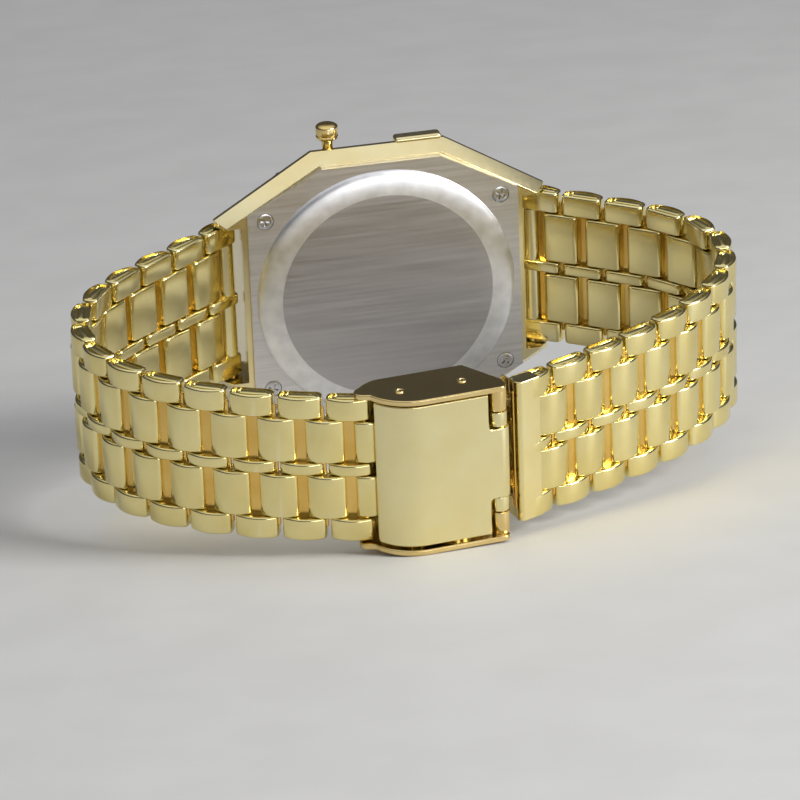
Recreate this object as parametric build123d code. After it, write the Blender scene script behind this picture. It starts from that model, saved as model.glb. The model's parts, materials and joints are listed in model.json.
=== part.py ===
from build123d import *
import math
import os

# An octagonal digital wristwatch on a folded-link metal bracelet with a sliding fold clasp.
# It lies on its side: X runs from 6 to 12 o'clock, Y out through the dial, Z along the
# bracelet's width. The origin is the centre of the caseback's flat outer face.

# case
case_half_length = 18.4
case_half_width = 16.6
case_corner_length = 11.0
case_corner_width = 6.7
case_flat_half = case_half_length - case_corner_length
case_end_half = case_half_width - case_corner_width
case_back_y = 1.5
case_girdle_y = 3.6
case_front_y = 7.9
case_draft = 1.1
guard_length = 7.0
guard_rise = 0.8
guard_depth = 3.4
lug_gap_width = 18.4
lug_gap_depth = 2.75
lug_pivot_inset = 1.15
lug_pivot_y = 4.3

# caseback
plate_inset_ends = 3.35
plate_inset_sides = 1.35
plate_flat_less = 0.8
plate_end_more = 0.7
plate_thickness = 1.0
disc_rise = 0.9
disc_inset = 2.05
disc_bevel = 2.6
screw_inset_ends = 1.95
screw_inset_sides = 0.65
screw_head_radius = 0.95
screw_head_height = 0.45
screw_shank_radius = 0.5
screw_length = 2.4
gasket_width = 0.5
gasket_height = 0.4
gasket_gap = 0.05

# module, from back to front
end_wall = 4.4
side_wall = 3.0
cavity_corner = 5.5
module_room_ends = 1.4
module_room_sides = 2.0
module_corner = 4.6
module_back_y = 2.6
module_front_y = 6.1
module_ring = 1.3
battery_radius = 4.7
battery_thickness = 1.55
battery_x = -4.2
battery_z = -3.4
battery_pocket_gap = 0.15
clip_width = 2.4
clip_thickness = 0.2
board_thickness = 0.8
board_gap = 0.15
light_radius = 1.3
light_inset = 2.6
display_inset_ends = 3.1
display_inset_sides = 5.1
display_thickness = 0.8
mask_thickness = 0.3
bezel_ends = 4.0
bezel_sides = 4.2
crystal_corner = 4.4
crystal_thickness = 1.3
crystal_proud = 0.3
window_ledge = 1.1
crystal_gasket_wall = 0.35

# pushers: one at 4 o'clock on the +Z side, two on the -Z side
pusher_inset = 2.2
pusher_y = 4.6
pusher_cap_radius = 1.22
pusher_cap_length = 1.7
pusher_stem_radius = 0.6
pusher_fit = 0.05
pusher_travel = 0.7
pusher_tail = 0.3
pusher_clip_radius = 1.1
pusher_clip_thickness = 0.3
pusher_seat_gap = 0.1

# bracelet
left_links = 14
right_links = 13
link_pitch = 5.02
link_thickness = 2.2
band_side_gap = 0.2
band_taper = 2.2
narrow_width = 2.4
middle_width = 1.3
column_gap = 0.13
narrow_gap = 0.47
narrow_length = link_pitch - narrow_gap
wide_gap = 0.92
wide_length = link_pitch - wide_gap
crown_rise = 0.3
crown_run = 0.85
inner_chamfer = 0.4
sleeve_chamfer = 0.22
strip_thickness = 0.4
strip_hem = 0.45
sleeve_mid_wall = 0.5
sleeve_mouth_outer = 0.45
sleeve_mouth_inner = 0.7
spring_bar_radius = 0.75
spring_bar_fit = 0.05
spring_bar_tip_radius = 0.4
spring_bar_tip_length = 0.45

# how the bracelet curls when the clasp is shut
curl_left_angle = 126.1
curl_right_angle = 117.5
rise_place_share = 0.233
rise_spread_share = 0.03
bump_left_share = 0.358
bump_right_share = 0.2
bump_spread_share = 0.415
tail_share = 0.03
end_link_angle = 0.5
swing_low_angle = 5.0
swing_high_angle = 85.0
swing_halvings = 40

# clasp, measured along it, outward from it and across it
clasp_side_reach = 0.85
cheek_thickness = 0.6
cheek_nose = 1.1
cheek_length = 15.3
cheek_outer = 4.9
cheek_shoulder = 2.6
cheek_nose_left = 0.7
cheek_nose_right = 3.0
cheek_corner = 0.7
base_thickness = 0.6
base_gap = 0.15
base_start = 0.6
base_end = 12.2
lock_thickness = 0.6
lock_outer = 4.55
lock_bend_place = 5.4
lock_bend_radius = 5.0
lock_bend_angle = 66.0
lock_side_gap = 0.12
lock_notch_start = 12.2
lock_rib_place = 6.6
lock_rib_thickness = 0.6
lock_pin_place = 13.5
lock_pin_height = 3.45
lock_pin_radius = 0.45
lock_knuckle_radius = 0.95
lock_tab_half = 3.9
lock_lug_half = 5.6
knuckle_gap = 0.12
hinge_fit = 0.04
fold_pin_place = 13.1
fold_pin_height = 1.75
fold_pin_radius = 0.4
fold_knuckle_radius = 0.75
fold_half_width = 4.0
fold_body_half = 6.6
blade_thickness = 0.55
blade_gap = 0.25
tip_pin_place = 1.0
tip_pin_radius = 0.3
tip_knuckle_radius = 0.62
tip_inner_half = 2.0
bar_place = 14.9
bar_height = 0.4
bar_radius = 0.45
bar_eye_radius = 0.8
bar_tip_radius = 0.28
bar_tip_length = 0.4
ear_gap = 0.2
ear_thickness = 0.8
ear_radius = 0.75
ear_bore_fit = 0.12
end_link_reach = 3.7
end_link_strip = 2.85
ear_inset = 0.2
end_lip = 0.5
end_lip_thickness = 0.5

overrun = 2.0

# sizes that follow from the case and from the gap between its lugs
plate_half_length = case_half_length - plate_inset_ends
plate_half_width = case_half_width - plate_inset_sides
plate_flat_half = case_flat_half - plate_flat_less
plate_end_half = case_end_half + plate_end_more
disc_radius = min(plate_half_length, plate_half_width) - disc_inset
screw_x = plate_half_length - screw_inset_ends
screw_z = plate_end_half - screw_inset_sides
cavity_half_length = case_half_length - end_wall
cavity_half_width = case_half_width - side_wall
module_half_length = cavity_half_length - module_room_ends
module_half_width = cavity_half_width - module_room_sides
display_length = 2 * (module_half_length - display_inset_ends)
display_width = 2 * (module_half_width - display_inset_sides)
light_z = module_half_width - light_inset
crystal_half_length = case_half_length - bezel_ends
crystal_half_width = case_half_width - bezel_sides
pusher_x = case_flat_half - pusher_inset
band_width_case = lug_gap_width - 2 * band_side_gap
band_width_clasp = band_width_case - band_taper
clasp_half_width = band_width_clasp / 2 + clasp_side_reach

os.makedirs("parts", exist_ok=True)


def save(name, *solids):
    """Writes one node, as one solid or as a group of separate solids."""
    shape = solids[0] if len(solids) == 1 else Compound(children=list(solids))
    export_step(shape, f"parts/{name}.step")


def octagon(half_x, half_z, flat_half, end_half):
    """Eight-sided outline with long flats at the ends and short ones at the sides."""
    return Polygon(
        (half_x, -end_half),
        (half_x, end_half),
        (flat_half, half_z),
        (-flat_half, half_z),
        (-half_x, end_half),
        (-half_x, -end_half),
        (-flat_half, -half_z),
        (flat_half, -half_z),
        align=None,
    )


def cut_corner(half_x, half_z, corner):
    return octagon(half_x, half_z, half_x - corner, half_z - corner)


def slab(face, back, front):
    """A flat piece of the head, from its back height to its front height along Y."""
    return extrude(Plane.XZ.offset(-back) * face, amount=back - front)


def rod(radius, length):
    """A round bar along Z, centred on its length."""
    return Cylinder(radius, length)


# the case: a gold octagon that tapers to the back and to the front, open through its middle
girdle = octagon(case_half_length, case_half_width, case_flat_half, case_end_half)
back_rim = octagon(
    case_half_length - case_draft,
    case_half_width - case_draft,
    case_flat_half - case_draft / 2,
    case_end_half - case_draft / 2,
)
band_face = Plane.XZ.offset(-case_girdle_y) * girdle
case_low = loft([Plane.XZ.offset(-case_back_y) * back_rim, band_face])
shoulder_y = (case_girdle_y + case_front_y) / 2
case_mid = slab(girdle, case_girdle_y, shoulder_y)
case_high = loft([Plane.XZ.offset(-shoulder_y) * girdle, Plane.XZ.offset(-case_front_y) * back_rim])
guard = slab(
    Pos(guard_length / 2, case_half_width) * Rectangle(guard_length, 2 * guard_rise),
    case_girdle_y,
    case_girdle_y + guard_depth,
)
case = case_low + case_mid + case_high + guard
cavity = cut_corner(cavity_half_length, cavity_half_width, cavity_corner)
crystal_seat_y = case_front_y + crystal_proud - crystal_thickness
window = cut_corner(
    crystal_half_length - window_ledge,
    crystal_half_width - window_ledge,
    crystal_corner,
)
crystal_hole = cut_corner(
    crystal_half_length + crystal_gasket_wall,
    crystal_half_width + crystal_gasket_wall,
    crystal_corner,
)
cavity_front_y = crystal_seat_y - window_ledge / 2
case -= slab(cavity, case_back_y - overrun, cavity_front_y)
case -= slab(window, cavity_front_y - overrun, case_front_y + overrun)
case -= slab(crystal_hole, crystal_seat_y, case_front_y + overrun)
lug_pivot_x = case_half_length - lug_pivot_inset
lug_slot = Box(2 * lug_gap_depth, 2 * case_front_y + overrun, lug_gap_width)
bar_span = lug_gap_width + 2 * spring_bar_tip_length
for side in (-1, 1):
    case -= Pos(side * case_half_length, case_front_y / 2, 0) * lug_slot
    case -= Pos(side * lug_pivot_x, lug_pivot_y, 0) * rod(spring_bar_tip_radius, bar_span)

# the caseback: an octagonal steel plate with a raised, bevelled disc and four screws
plate_back_y = disc_rise
plate_front_y = plate_back_y + plate_thickness
plate = octagon(plate_half_length, plate_half_width, plate_flat_half, plate_end_half)
case -= slab(plate, case_back_y - overrun, plate_front_y)
caseback = slab(plate, plate_back_y, plate_front_y)
disc = Cone(disc_radius, disc_radius - disc_bevel, disc_rise)
caseback += Pos(0, disc_rise / 2, 0) * Rot(90, 0, 0) * disc
screws = []
for x_side in (-1, 1):
    for z_side in (-1, 1):
        centre = Pos(x_side * screw_x, z_side * screw_z)
        head_top = plate_back_y + screw_head_height
        head = slab(centre * Circle(screw_head_radius), plate_back_y, head_top)
        shank = slab(centre * Circle(screw_shank_radius), head_top, head_top + screw_length)
        screws.append(head + shank)
        caseback -= head + shank
        case -= shank
gasket_outside = cut_corner(
    cavity_half_length - gasket_gap,
    cavity_half_width - gasket_gap,
    cavity_corner,
)
gasket_inside = cut_corner(
    cavity_half_length - gasket_gap - gasket_width,
    cavity_half_width - gasket_gap - gasket_width,
    cavity_corner,
)
gasket = slab(gasket_outside - gasket_inside, plate_front_y, plate_front_y + gasket_height)

# the module: frame, board, battery under its clip, light, display, printed mask and crystal
frame_outline = cut_corner(module_half_length, module_half_width, module_corner)
frame_inside = cut_corner(
    module_half_length - module_ring,
    module_half_width - module_ring,
    module_corner,
)
board_back_y = module_back_y + battery_thickness + board_gap
board_front_y = board_back_y + board_thickness
pocket_face = Pos(battery_x, battery_z) * Circle(battery_radius + battery_pocket_gap)
module_frame = slab(frame_outline, module_back_y, board_back_y)
module_frame -= slab(pocket_face, module_back_y - overrun, board_back_y + overrun)
module_frame += slab(frame_outline - frame_inside, board_back_y, module_front_y)
board = slab(
    cut_corner(
        module_half_length - module_ring - board_gap,
        module_half_width - module_ring - board_gap,
        module_corner,
    ),
    board_back_y,
    board_front_y,
)
battery = slab(
    Pos(battery_x, battery_z) * Circle(battery_radius),
    module_back_y,
    module_back_y + battery_thickness,
)
clip_length = 2 * battery_radius + clip_width
battery_clip = slab(
    Pos(battery_x, battery_z) * Rectangle(clip_length, clip_width),
    module_back_y - clip_thickness,
    module_back_y,
)
display_front_y = module_front_y
display_back_y = display_front_y - display_thickness
display = slab(Rectangle(display_length, display_width), display_back_y, display_front_y)
light = slab(Pos(0, light_z) * Circle(light_radius), board_front_y, display_front_y)
mask_back_y = crystal_seat_y - mask_thickness
mask = slab(
    cut_corner(
        crystal_half_length - window_ledge - board_gap,
        crystal_half_width - window_ledge - board_gap,
        crystal_corner,
    )
    - Rectangle(display_length - window_ledge, display_width - window_ledge),
    mask_back_y,
    crystal_seat_y,
)
carrier = slab(
    cut_corner(
        module_half_length - module_ring,
        module_half_width - module_ring,
        module_corner,
    )
    - Rectangle(display_length, display_width),
    display_front_y,
    mask_back_y,
)
crystal = slab(
    cut_corner(crystal_half_length, crystal_half_width, crystal_corner),
    crystal_seat_y,
    crystal_seat_y + crystal_thickness,
)
crystal_gasket = slab(
    crystal_hole - cut_corner(crystal_half_length, crystal_half_width, crystal_corner),
    crystal_seat_y,
    case_front_y - crystal_proud,
)


def pusher_axis(x, z_side):
    """Place on the case side, with local Z out of the case."""
    reach = z_side * case_half_width
    return Plane(origin=(x, pusher_y, reach), x_dir=(1, 0, 0), z_dir=(0, 0, z_side))


def pusher(x, z_side):
    wall = case_half_width - cavity_half_width
    stem_low = -wall - pusher_travel - pusher_tail
    cap_low = pusher_travel + pusher_seat_gap
    cap = Pos(0, 0, cap_low) * Cylinder(
        pusher_cap_radius,
        pusher_cap_length,
        align=(Align.CENTER, Align.CENTER, Align.MIN),
    )
    stem = Pos(0, 0, stem_low) * Cylinder(
        pusher_stem_radius,
        cap_low - stem_low,
        align=(Align.CENTER, Align.CENTER, Align.MIN),
    )
    clip = Pos(0, 0, -wall - pusher_seat_gap) * Cylinder(
        pusher_clip_radius,
        pusher_clip_thickness,
        align=(Align.CENTER, Align.CENTER, Align.MAX),
    )
    return pusher_axis(x, z_side).location * (cap + stem + clip)


pushers = {
    "pusher_4_oclock": (-pusher_x, 1),
    "pusher_8_oclock": (-pusher_x, -1),
    "pusher_10_oclock": (pusher_x, -1),
}
bore_length = 2 * side_wall + 2 * overrun
for name, (x, z_side) in pushers.items():
    bore = Cylinder(pusher_stem_radius + pusher_fit, bore_length)
    case -= pusher_axis(x, z_side).location * bore
    save(name, pusher(x, z_side))


# the bracelet: every link is three narrow bars on a cross strip and two sleeves over its far half
def bar_profile(length, corner):
    """Side view of a crowned bar, with its outer face up."""
    half = length / 2
    low = -link_thickness / 2
    shoulder = link_thickness / 2 - crown_rise
    return Polygon(
        (-half, shoulder),
        (-half, low + corner),
        (-half + corner, low),
        (half - corner, low),
        (half, low + corner),
        (half, shoulder),
        (half - crown_run, link_thickness / 2),
        (-half + crown_run, link_thickness / 2),
        align=None,
    )


def across(face, centre, width):
    """A bar with this side view, from its middle and width across the bracelet."""
    return extrude(Pos(0, 0, centre - width / 2) * face, amount=width)


def wide_width(band_width):
    return (band_width - 2 * narrow_width - middle_width - 4 * column_gap) / 2


def wide_centre(band_width):
    return middle_width / 2 + column_gap + wide_width(band_width) / 2


trio_centre = link_pitch / 4
sleeve_centre = trio_centre + link_pitch / 2
strip_start = -strip_hem
strip_end = sleeve_centre - sleeve_mid_wall / 2


def trio(band_width, strip_low=strip_start, strip_high=strip_end):
    """Three narrow bars joined by the flat strip that the sleeves run over."""
    bar = Pos(trio_centre, 0) * bar_profile(narrow_length, inner_chamfer)
    outer_centre = (band_width - narrow_width) / 2
    strip_length = strip_high - strip_low
    strip = Pos((strip_low + strip_high) / 2, 0) * Rectangle(strip_length, strip_thickness)
    joined = across(bar, 0, middle_width)
    joined += across(strip, 0, 2 * outer_centre)
    for side in (-1, 1):
        joined += across(bar, side * outer_centre, narrow_width)
    return joined


def sleeve(band_width, side):
    """A crowned sleeve: it grips its own strip and leaves the next strip room to turn."""
    width = wide_width(band_width)
    shell = Pos(sleeve_centre, 0) * bar_profile(wide_length, sleeve_chamfer)
    near = sleeve_centre - wide_length / 2
    far = sleeve_centre + wide_length / 2
    seat_end = strip_end
    seat_length = seat_end - near + overrun
    mouth_start = sleeve_centre + sleeve_mid_wall / 2
    mouth_length = far - mouth_start + overrun
    slot = Pos(seat_end - seat_length / 2, 0) * Rectangle(seat_length, strip_thickness)
    mouth_height = sleeve_mouth_outer + sleeve_mouth_inner
    mouth_place = (sleeve_mouth_outer - sleeve_mouth_inner) / 2
    mouth = Pos(mouth_start + mouth_length / 2, mouth_place) * Rectangle(mouth_length, mouth_height)
    body = across(shell, side * wide_centre(band_width), width)
    # the strip runs on to the narrow bars on both sides, so the side walls are open for it
    body -= across(slot, side * wide_centre(band_width), width + overrun)
    body -= across(mouth, side * wide_centre(band_width), width + overrun)
    return body


def band_width_at(step, count):
    return band_width_case + (band_width_clasp - band_width_case) * step / count


def link_solids(band_width):
    return [trio(band_width), sleeve(band_width, -1), sleeve(band_width, 1)]


def link_bends(count, curl, bump_place_share):
    """Turn of each link against the one before it, from the case to the clasp."""
    weights = []
    for step in range(1, count):
        share = step / count
        rise = 1 / (1 + math.exp((rise_place_share - share) / rise_spread_share))
        bump = math.exp(-(((share - bump_place_share) / bump_spread_share) ** 2))
        weights.append(rise * (tail_share + bump))
    return [curl * weight / sum(weights) for weight in weights]


def chain(count, curl, bump_share, last_reach, swing):
    """Pivots and headings of one half, mirrored to the +X side, swung about its lug."""
    angle = swing
    pivots = [(lug_pivot_x, lug_pivot_y)]
    angles = []
    for bend in [0, *link_bends(count, curl, bump_share)]:
        angle += bend
        x, y = pivots[-1]
        heading = math.radians(angle)
        reach = last_reach if len(pivots) == count else link_pitch
        pivots.append((x + reach * math.cos(heading), y - reach * math.sin(heading)))
        angles.append(angle)
    return pivots, angles


# links, curl, place of the tightest bend, and how far the last link reaches; the left half ends
# in a half link, because the clasp grips it by the two sleeves that come after
left_half = (left_links, curl_left_angle, bump_left_share, link_pitch / 2)
right_half = (right_links, curl_right_angle, bump_right_share, link_pitch)

# the spring bar as the end link sees it: along the link, and inward from it
ear_along = end_link_reach - ear_inset
ear_inward = link_thickness / 2 + 2 * ear_radius
clasp_reach = math.hypot(bar_place, bar_height)


def loop_ends(swing):
    """The clasp's pivot on the left half and the spring bar on the right half."""
    left_pivots, _ = chain(*left_half, swing)
    right_pivots, right_angles = chain(*right_half, swing)
    heading = math.radians(right_angles[-1] + end_link_angle)
    x, y = right_pivots[-1]
    bar_x = x + ear_along * math.cos(heading) - ear_inward * math.sin(heading)
    bar_y = y - ear_along * math.sin(heading) - ear_inward * math.cos(heading)
    return (-left_pivots[-1][0], left_pivots[-1][1]), (bar_x, bar_y)


def close_loop():
    """Swings both halves about the lugs until their ends are as far apart as the clasp is long."""
    low, high = swing_low_angle, swing_high_angle
    for _ in range(swing_halvings):
        middle = (low + high) / 2
        start, end = loop_ends(middle)
        if math.dist(start, end) > clasp_reach:
            low = middle
        else:
            high = middle
    return low


swing = close_loop()
clasp_origin, bar_point = loop_ends(swing)
clasp_slope = math.atan2(bar_point[1] - clasp_origin[1], bar_point[0] - clasp_origin[0])
clasp_tilt = clasp_slope - math.atan2(bar_height, bar_place)


def half_plane(side, pivot, angle):
    """Frame of a link: X along the bracelet, Y out from the wrist."""
    heading = math.radians(angle)
    return Plane(
        origin=(side * pivot[0], pivot[1], 0),
        x_dir=(side * math.cos(heading), -math.sin(heading), 0),
        z_dir=(0, 0, side),
    )


for label, side, half in (("left", -1, left_half), ("right", 1, right_half)):
    count = half[0]
    pivots, angles = chain(*half, swing)
    for step in range(count):
        band_width = band_width_at(step, count)
        solids = link_solids(band_width)
        if side < 0 and step == count - 1:
            solids = [trio(band_width, strip_start, link_pitch / 2 + strip_hem)]
        if step == 0:
            hole = rod(spring_bar_radius + spring_bar_fit, lug_gap_width)
            solids = [solid - hole for solid in solids]
        place = half_plane(side, pivots[step], angles[step]).location
        save(f"{label}_link_{step + 1:02d}", *[place * solid for solid in solids])

# the two lug spring bars, held by the case horns
lug_bars = []
for side in (-1, 1):
    bar = rod(spring_bar_radius, lug_gap_width) + rod(spring_bar_tip_radius, bar_span)
    lug_bars.append(Pos(side * lug_pivot_x, lug_pivot_y, 0) * bar)
save("lug_spring_bars", *lug_bars)

# the clasp, drawn flat: X along it from the left pivot, Y out from the wrist
clasp_place = Plane(
    origin=(clasp_origin[0], clasp_origin[1], 0),
    x_dir=(math.cos(clasp_tilt), math.sin(clasp_tilt), 0),
    z_dir=(0, 0, -1),
).location
cheek_inner = link_thickness / 2 + base_gap + base_thickness
cheek_end = cheek_length - cheek_nose


def bend_point(radius, share):
    """A point on the rounded left end of the cheeks and the lock plate."""
    angle = math.radians(lock_bend_angle) * share
    x = lock_bend_place - radius * math.sin(angle)
    return (x, lock_outer - lock_bend_radius + radius * math.cos(angle))


def bend_arc(radius):
    return ThreePointArc(bend_point(radius, 0), bend_point(radius, 1 / 2), bend_point(radius, 1))


cheek_bend_radius = lock_bend_radius + cheek_outer - lock_outer
cheek_line = Polyline(
    bend_point(cheek_bend_radius, 1),
    (-cheek_nose, cheek_nose_left),
    (cheek_shoulder - cheek_nose, -cheek_inner),
    (cheek_end - cheek_shoulder, -cheek_inner),
    (cheek_end, cheek_nose_right),
    (cheek_end, cheek_outer),
    bend_point(cheek_bend_radius, 0),
)
cheek_face = make_face(cheek_line + bend_arc(cheek_bend_radius))
cheek_tips = cheek_face.vertices().sort_by(Axis.X)
cheek_face = fillet([cheek_tips[0], *cheek_tips[-2:]], cheek_corner)
cheek_middle = clasp_half_width - cheek_thickness / 2
inside_half = clasp_half_width - cheek_thickness
base_top = -cheek_inner + base_thickness
base_middle = base_top - base_thickness / 2
body = across(
    Pos((base_start + base_end) / 2, base_middle) * Rectangle(base_end - base_start, base_thickness),
    0,
    2 * inside_half,
)
fold_centre = Pos(fold_pin_place, -fold_pin_height)
fold_lug_width = fold_body_half - fold_half_width - knuckle_gap
fold_lug_centre = fold_body_half - fold_lug_width / 2
lock_centre = Pos(lock_pin_place, lock_pin_height)
body_lug_width = inside_half - lock_lug_half - knuckle_gap
body_lug_centre = inside_half - body_lug_width / 2
base_reach = Pos((base_end + fold_pin_place) / 2, base_middle) * Rectangle(
    fold_pin_place - base_end, base_thickness
)
for side in (-1, 1):
    body += across(cheek_face, side * cheek_middle, cheek_thickness)
    body += across(base_reach, side * fold_lug_centre, fold_lug_width)
    body += across(fold_centre * Circle(fold_knuckle_radius), side * fold_lug_centre, fold_lug_width)
    body += across(lock_centre * Circle(lock_knuckle_radius), side * body_lug_centre, body_lug_width)
body -= fold_centre * rod(fold_pin_radius, 2 * fold_body_half + overrun)
body -= lock_centre * rod(lock_pin_radius, 2 * inside_half)
save("clasp_body", clasp_place * body)
save("lock_pin", clasp_place * lock_centre * rod(lock_pin_radius, 2 * inside_half))
save("fold_pin", clasp_place * fold_centre * rod(fold_pin_radius, 2 * fold_body_half))

# the bracelet's tail lies gripped inside the clasp: two sleeves that face the last left link,
# one whole link and the narrow bars of the next
gripped = []
for side in (-1, 1):
    turned_sleeve = mirror(sleeve(band_width_clasp, side), about=Plane.YZ)
    gripped.append(clasp_place * Pos(link_pitch, 0, 0) * turned_sleeve)
grip_start = link_pitch / 2
turned_strip = link_pitch - sleeve_centre + sleeve_mid_wall / 2 - grip_start
gripped.append(clasp_place * Pos(grip_start, 0, 0) * trio(band_width_clasp, turned_strip))
for side in (-1, 1):
    gripped.append(clasp_place * Pos(grip_start, 0, 0) * sleeve(band_width_clasp, side))
gripped.append(clasp_place * Pos(grip_start + link_pitch, 0, 0) * trio(band_width_clasp))
save("gripped_links", *gripped)

# the outer lock plate, with its rounded left end, inner rib and knuckles on the lock pin
lock_half = inside_half - lock_side_gap
lock_inner = lock_outer - lock_thickness
lock_outline = Polyline(
    bend_point(lock_bend_radius, 1),
    bend_point(lock_bend_radius - lock_thickness, 1),
)
lock_outline += bend_arc(lock_bend_radius - lock_thickness)
lock_outline += Polyline(
    (lock_bend_place, lock_inner),
    (lock_pin_place, lock_inner),
    (lock_pin_place, lock_outer),
    (lock_bend_place, lock_outer),
)
lock_profile = make_face(lock_outline + bend_arc(lock_bend_radius))
lock = across(lock_profile, 0, 2 * lock_half)
notch_length = lock_pin_place - lock_notch_start + overrun
notch_width = lock_half - lock_tab_half
notch = Pos(lock_notch_start + notch_length / 2, lock_outer) * Rectangle(notch_length, cheek_outer)
rib_height = lock_inner - link_thickness / 2 - 2 * knuckle_gap
rib = Pos(lock_rib_place, lock_inner - rib_height / 2) * Rectangle(lock_rib_thickness, rib_height)
lock += across(rib, 0, 2 * lock_tab_half)
lug_width = lock_lug_half - lock_tab_half
lug_centre = lock_lug_half - lug_width / 2
for side in (-1, 1):
    lock -= across(notch, side * (lock_half - notch_width / 2), notch_width + lock_side_gap)
    lock += across(lock_centre * Circle(lock_knuckle_radius), side * lug_centre, lug_width)
lock += across(lock_centre * Circle(lock_outer - lock_pin_height), 0, 2 * lock_tab_half)
lock -= lock_centre * rod(lock_pin_radius + hinge_fit, 2 * clasp_half_width)
save("lock_plate", clasp_place * lock)

# the two fold blades that lie under the base plate
outer_top = -cheek_inner - blade_gap
outer_middle = outer_top - blade_thickness / 2
inner_middle = outer_middle - blade_thickness - blade_gap
tip_height = (outer_middle + inner_middle) / 2
tip_centre = Pos(tip_pin_place, tip_height)
blade_length = fold_pin_place - tip_pin_place
blade = Pos((fold_pin_place + tip_pin_place) / 2, outer_middle) * Rectangle(blade_length, blade_thickness)
outer_blade = across(blade, 0, 2 * fold_half_width)
outer_blade += across(fold_centre * Circle(fold_knuckle_radius), 0, 2 * fold_half_width)
tip_slot = Pos(tip_pin_place, tip_height) * Rectangle(
    2 * (tip_knuckle_radius + knuckle_gap), 2 * (tip_knuckle_radius + knuckle_gap)
)
tip_lug_width = fold_half_width - tip_inner_half - knuckle_gap
tip_lug_centre = fold_half_width - tip_lug_width / 2
outer_blade -= across(tip_slot, 0, 2 * (tip_inner_half + knuckle_gap))
for side in (-1, 1):
    outer_blade += across(tip_centre * Circle(tip_knuckle_radius), side * tip_lug_centre, tip_lug_width)
outer_blade -= fold_centre * rod(fold_pin_radius + hinge_fit, 2 * clasp_half_width)
outer_blade -= tip_centre * rod(tip_pin_radius, 2 * fold_half_width)
save("blade_outer", clasp_place * outer_blade)
save("blade_pin", clasp_place * tip_centre * rod(tip_pin_radius, 2 * fold_half_width))

bar_centre = Pos(bar_place, -bar_height)
neck_foot = bar_place - bar_eye_radius + blade_thickness
inner_length = neck_foot - tip_pin_place
inner_blade = across(
    Pos(tip_pin_place + inner_length / 2, inner_middle) * Rectangle(inner_length, blade_thickness),
    0,
    2 * fold_half_width,
)
lug_clear = 2 * (tip_knuckle_radius + knuckle_gap)
inner_slot = tip_centre * Rectangle(lug_clear, lug_clear)
for side in (-1, 1):
    slot_width = tip_lug_width + 2 * knuckle_gap
    inner_blade -= across(inner_slot, side * tip_lug_centre, slot_width)
inner_blade += across(tip_centre * Circle(tip_knuckle_radius), 0, 2 * tip_inner_half)
neck_top = -bar_height
neck_bottom = inner_middle - blade_thickness / 2
neck = Pos(neck_foot - blade_thickness / 2, (neck_top + neck_bottom) / 2) * Rectangle(
    blade_thickness, neck_top - neck_bottom
)
inner_blade += across(neck, 0, 2 * fold_half_width)
inner_blade += across(bar_centre * Circle(bar_eye_radius), 0, 2 * fold_half_width)
inner_blade -= tip_centre * rod(tip_pin_radius + hinge_fit, 2 * clasp_half_width)
inner_blade -= bar_centre * rod(bar_radius, 2 * clasp_half_width)
save("blade_inner", clasp_place * inner_blade)
bar_total = 2 * (fold_half_width + bar_tip_length)
end_bar = rod(bar_radius, 2 * fold_half_width) + rod(bar_tip_radius, bar_total)
save("clasp_spring_bar", clasp_place * bar_centre * end_bar)

# the end link on the right half, whose two ears stand beside the spring bar's ends
right_pivots, right_angles = chain(*right_half, swing)
end_place = half_plane(1, right_pivots[-1], right_angles[-1] + end_link_angle).location
end_top = link_thickness / 2 - crown_rise
strip_from = end_link_reach - end_link_strip
lip_from = end_link_reach - end_lip
end_plate = Polygon(
    (strip_from, -end_top),
    (lip_from, -end_top),
    (end_link_reach, end_top - end_lip_thickness),
    (end_link_reach, end_top),
    (strip_from, end_top),
    align=None,
)
end_link = trio(band_width_clasp) + across(end_plate, 0, band_width_clasp)
ear_place = fold_half_width + bar_tip_length + ear_gap + ear_thickness / 2
ear_centre = Pos(ear_along, -ear_inward)
ear_stem = Polygon(
    (ear_along - ear_radius, -ear_inward),
    (ear_along + ear_radius, -ear_inward),
    (lip_from, 0),
    (lip_from - 2 * ear_radius, 0),
    align=None,
)
for side in (-1, 1):
    end_link += across(ear_centre * Circle(ear_radius), side * ear_place, ear_thickness)
    end_link += across(ear_stem, side * ear_place, ear_thickness)
end_link -= ear_centre * rod(bar_tip_radius + ear_bore_fit, band_width_clasp)
save("end_link", end_place * end_link)

save("case_shell", case)
save("caseback", caseback)
save("caseback_screws", *screws)
save("caseback_gasket", gasket)
save("module_frame", module_frame)
save("circuit_board", board)
save("battery", battery)
save("battery_clip", battery_clip)
save("display_panel", display)
save("display_carrier", carrier)
save("light_source", light)
save("dial_mask", mask)
save("crystal", crystal)
save("crystal_gasket", crystal_gasket)

print("swing", round(swing, 3), "clasp origin", clasp_origin, "tilt", round(math.degrees(clasp_tilt), 3))
print("bar point", bar_point, "end heading", round(right_angles[-1] + end_link_angle, 2))
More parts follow.
